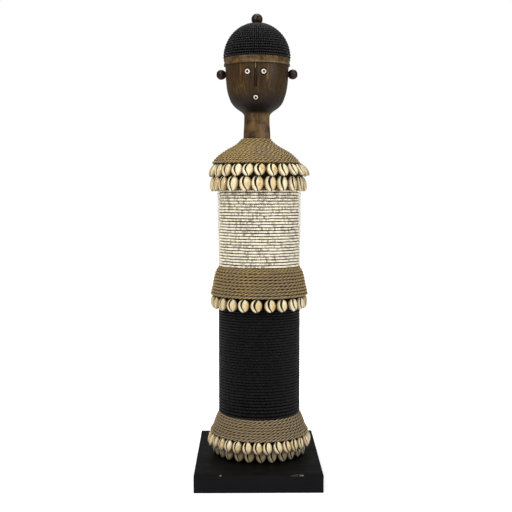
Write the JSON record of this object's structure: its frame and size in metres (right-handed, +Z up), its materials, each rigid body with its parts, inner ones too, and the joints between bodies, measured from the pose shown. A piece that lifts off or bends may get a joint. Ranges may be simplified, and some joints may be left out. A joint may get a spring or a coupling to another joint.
{
  "type": "fertility doll",
  "caption": "Standing beaded doll on a plinth: carved wooden head, bead-wound body, flared rope bands and hanging cowrie shells.",
  "frame": {"origin": "middle of the plinth's underside", "axes": "+Z up along the doll's height; the doll faces -Y; +X is to the right of someone who looks at its face"},
  "size_m": [0.16, 0.216, 0.6],
  "materials": {
    "black_paint": "matt to satin black paint on wood",
    "steel": "plain steel",
    "raw_wood": "turned, unfinished",
    "stained_wood": "dark stain, hand-polished, with grain",
    "dark_bead": "dark polished hardwood",
    "white_beads": "glossy off-white glass seed beads",
    "black_beads": "glossy black glass seed beads",
    "sisal_rope": "hairy two-ply natural rope",
    "black_cloth": "matt black cotton",
    "thread": "waxed thread",
    "cowrie": "polished shell, ivory to tan",
    "ring_bead": "glossy white ring bead",
    "nail": "blackened iron"
  },
  "bodies": {
    "doll": {"plinth": "black_paint", "mounting_screw_front": "steel", "mounting_screw_back": "steel", "body_core": "raw_wood", "white_bead_winding": "white_beads", "black_bead_winding": "black_beads", "cape_shell_tape": "black_cloth", "hem_shell_tape": "black_cloth", "belt_underwrap": "black_cloth", "hem_underwrap": "black_cloth", "cape_rope": "sisal_rope", "belt_rope": "sisal_rope", "hem_rope": "sisal_rope", "belt_shell_cord": "thread", "cape_upper_cowries": "cowrie", "cape_lower_cowries": "cowrie", "hem_upper_cowries": "cowrie", "hem_lower_cowries": "cowrie", "head_and_neck": "stained_wood", "cap_bead_winding": "black_beads", "topknot_bead": "dark_bead", "topknot_peg": "raw_wood", "ear_bead_left": "dark_bead", "ear_bead_right": "dark_bead", "ear_peg_left": "dark_bead", "ear_peg_right": "dark_bead", "eye_bead_left": "ring_bead", "eye_bead_right": "ring_bead", "mouth_bead": "ring_bead", "eye_nail_left": "nail", "eye_nail_right": "nail", "mouth_nail": "nail"},
    "belt_shell_01": {"belt_cowrie_01": "cowrie"},
    "belt_shell_02": {"belt_cowrie_02": "cowrie"},
    "belt_shell_03": {"belt_cowrie_03": "cowrie"},
    "belt_shell_04": {"belt_cowrie_04": "cowrie"},
    "belt_shell_05": {"belt_cowrie_05": "cowrie"},
    "belt_shell_06": {"belt_cowrie_06": "cowrie"},
    "belt_shell_07": {"belt_cowrie_07": "cowrie"},
    "belt_shell_08": {"belt_cowrie_08": "cowrie"},
    "belt_shell_09": {"belt_cowrie_09": "cowrie"},
    "belt_shell_10": {"belt_cowrie_10": "cowrie"},
    "belt_shell_11": {"belt_cowrie_11": "cowrie"},
    "belt_shell_12": {"belt_cowrie_12": "cowrie"},
    "belt_shell_13": {"belt_cowrie_13": "cowrie"},
    "belt_shell_14": {"belt_cowrie_14": "cowrie"},
    "belt_shell_15": {"belt_cowrie_15": "cowrie"},
    "belt_shell_16": {"belt_cowrie_16": "cowrie"},
    "belt_shell_17": {"belt_cowrie_17": "cowrie"},
    "belt_shell_18": {"belt_cowrie_18": "cowrie"},
    "belt_shell_19": {"belt_cowrie_19": "cowrie"},
    "belt_shell_20": {"belt_cowrie_20": "cowrie"},
    "belt_shell_21": {"belt_cowrie_21": "cowrie"},
    "belt_shell_22": {"belt_cowrie_22": "cowrie"},
    "belt_shell_23": {"belt_cowrie_23": "cowrie"}
  },
  "joints": [
    {"name": "shell_01_swing", "type": "hinge", "parent": "doll", "child": "belt_shell_01", "pos_m": [-0.00192, -0.06046, 0.2335], "axis": [-0.9977, 0.068, 0], "range_deg": [-10, 45]},
    {"name": "shell_02_swing", "type": "hinge", "parent": "doll", "child": "belt_shell_02", "pos_m": [0.01454, -0.05933, 0.2335], "axis": [-0.979, -0.2037, 0], "range_deg": [-10, 45]},
    {"name": "shell_03_swing", "type": "hinge", "parent": "doll", "child": "belt_shell_03", "pos_m": [0.03009, -0.0538, 0.2335], "axis": [-0.8878, -0.4603, 0], "range_deg": [-10, 45]},
    {"name": "shell_04_swing", "type": "hinge", "parent": "doll", "child": "belt_shell_04", "pos_m": [0.04357, -0.04428, 0.2335], "axis": [-0.7307, -0.6827, 0], "range_deg": [-10, 45]},
    {"name": "shell_05_swing", "type": "hinge", "parent": "doll", "child": "belt_shell_05", "pos_m": [0.05398, -0.03148, 0.2335], "axis": [-0.5194, -0.8545, 0], "range_deg": [-10, 45]},
    {"name": "shell_06_swing", "type": "hinge", "parent": "doll", "child": "belt_shell_06", "pos_m": [0.06056, -0.01634, 0.2335], "axis": [-0.2696, -0.963, 0], "range_deg": [-10, 45]},
    {"name": "shell_07_swing", "type": "hinge", "parent": "doll", "child": "belt_shell_07", "pos_m": [0.0628, 0.00001, 0.2335], "axis": [0.0002, -1, 0], "range_deg": [-10, 45]},
    {"name": "shell_08_swing", "type": "hinge", "parent": "doll", "child": "belt_shell_08", "pos_m": [0.06055, 0.01636, 0.2335], "axis": [0.27, -0.9629, 0], "range_deg": [-10, 45]},
    {"name": "shell_09_swing", "type": "hinge", "parent": "doll", "child": "belt_shell_09", "pos_m": [0.05397, 0.0315, 0.2335], "axis": [0.5198, -0.8543, 0], "range_deg": [-10, 45]},
    {"name": "shell_10_swing", "type": "hinge", "parent": "doll", "child": "belt_shell_10", "pos_m": [0.04355, 0.0443, 0.2335], "axis": [0.731, -0.6824, 0], "range_deg": [-10, 45]},
    {"name": "shell_11_swing", "type": "hinge", "parent": "doll", "child": "belt_shell_11", "pos_m": [0.03007, 0.05381, 0.2335], "axis": [0.888, -0.4599, 0], "range_deg": [-10, 45]},
    {"name": "shell_12_swing", "type": "hinge", "parent": "doll", "child": "belt_shell_12", "pos_m": [0.01452, 0.05933, 0.2335], "axis": [0.9791, -0.2032, 0], "range_deg": [-10, 45]},
    {"name": "shell_13_swing", "type": "hinge", "parent": "doll", "child": "belt_shell_13", "pos_m": [-0.00195, 0.06046, 0.2335], "axis": [0.9977, 0.0685, 0], "range_deg": [-10, 45]},
    {"name": "shell_14_swing", "type": "hinge", "parent": "doll", "child": "belt_shell_14", "pos_m": [-0.01811, 0.0571, 0.2335], "axis": [0.9422, 0.3351, 0], "range_deg": [-10, 45]},
    {"name": "shell_15_swing", "type": "hinge", "parent": "doll", "child": "belt_shell_15", "pos_m": [-0.03276, 0.0495, 0.2335], "axis": [0.8168, 0.5769, 0], "range_deg": [-10, 45]},
    {"name": "shell_16_swing", "type": "hinge", "parent": "doll", "child": "belt_shell_16", "pos_m": [-0.04482, 0.03823, 0.2335], "axis": [0.6309, 0.7759, 0], "range_deg": [-10, 45]},
    {"name": "shell_17_swing", "type": "hinge", "parent": "doll", "child": "belt_shell_17", "pos_m": [-0.05339, 0.02413, 0.2335], "axis": [0.3982, 0.9173, 0], "range_deg": [-10, 45]},
    {"name": "shell_18_swing", "type": "hinge", "parent": "doll", "child": "belt_shell_18", "pos_m": [-0.05784, 0.00824, 0.2335], "axis": [0.1359, 0.9907, 0], "range_deg": [-10, 45]},
    {"name": "shell_19_swing", "type": "hinge", "parent": "doll", "child": "belt_shell_19", "pos_m": [-0.05783, -0.00826, 0.2335], "axis": [-0.1364, 0.9907, 0], "range_deg": [-10, 45]},
    {"name": "shell_20_swing", "type": "hinge", "parent": "doll", "child": "belt_shell_20", "pos_m": [-0.05338, -0.02416, 0.2335], "axis": [-0.3986, 0.9171, 0], "range_deg": [-10, 45]},
    {"name": "shell_21_swing", "type": "hinge", "parent": "doll", "child": "belt_shell_21", "pos_m": [-0.0448, -0.03825, 0.2335], "axis": [-0.6313, 0.7756, 0], "range_deg": [-10, 45]},
    {"name": "shell_22_swing", "type": "hinge", "parent": "doll", "child": "belt_shell_22", "pos_m": [-0.03274, -0.04952, 0.2335], "axis": [-0.8171, 0.5765, 0], "range_deg": [-10, 45]},
    {"name": "shell_23_swing", "type": "hinge", "parent": "doll", "child": "belt_shell_23", "pos_m": [-0.01808, -0.05711, 0.2335], "axis": [-0.9423, 0.3347, 0], "range_deg": [-10, 45]}
  ]
}
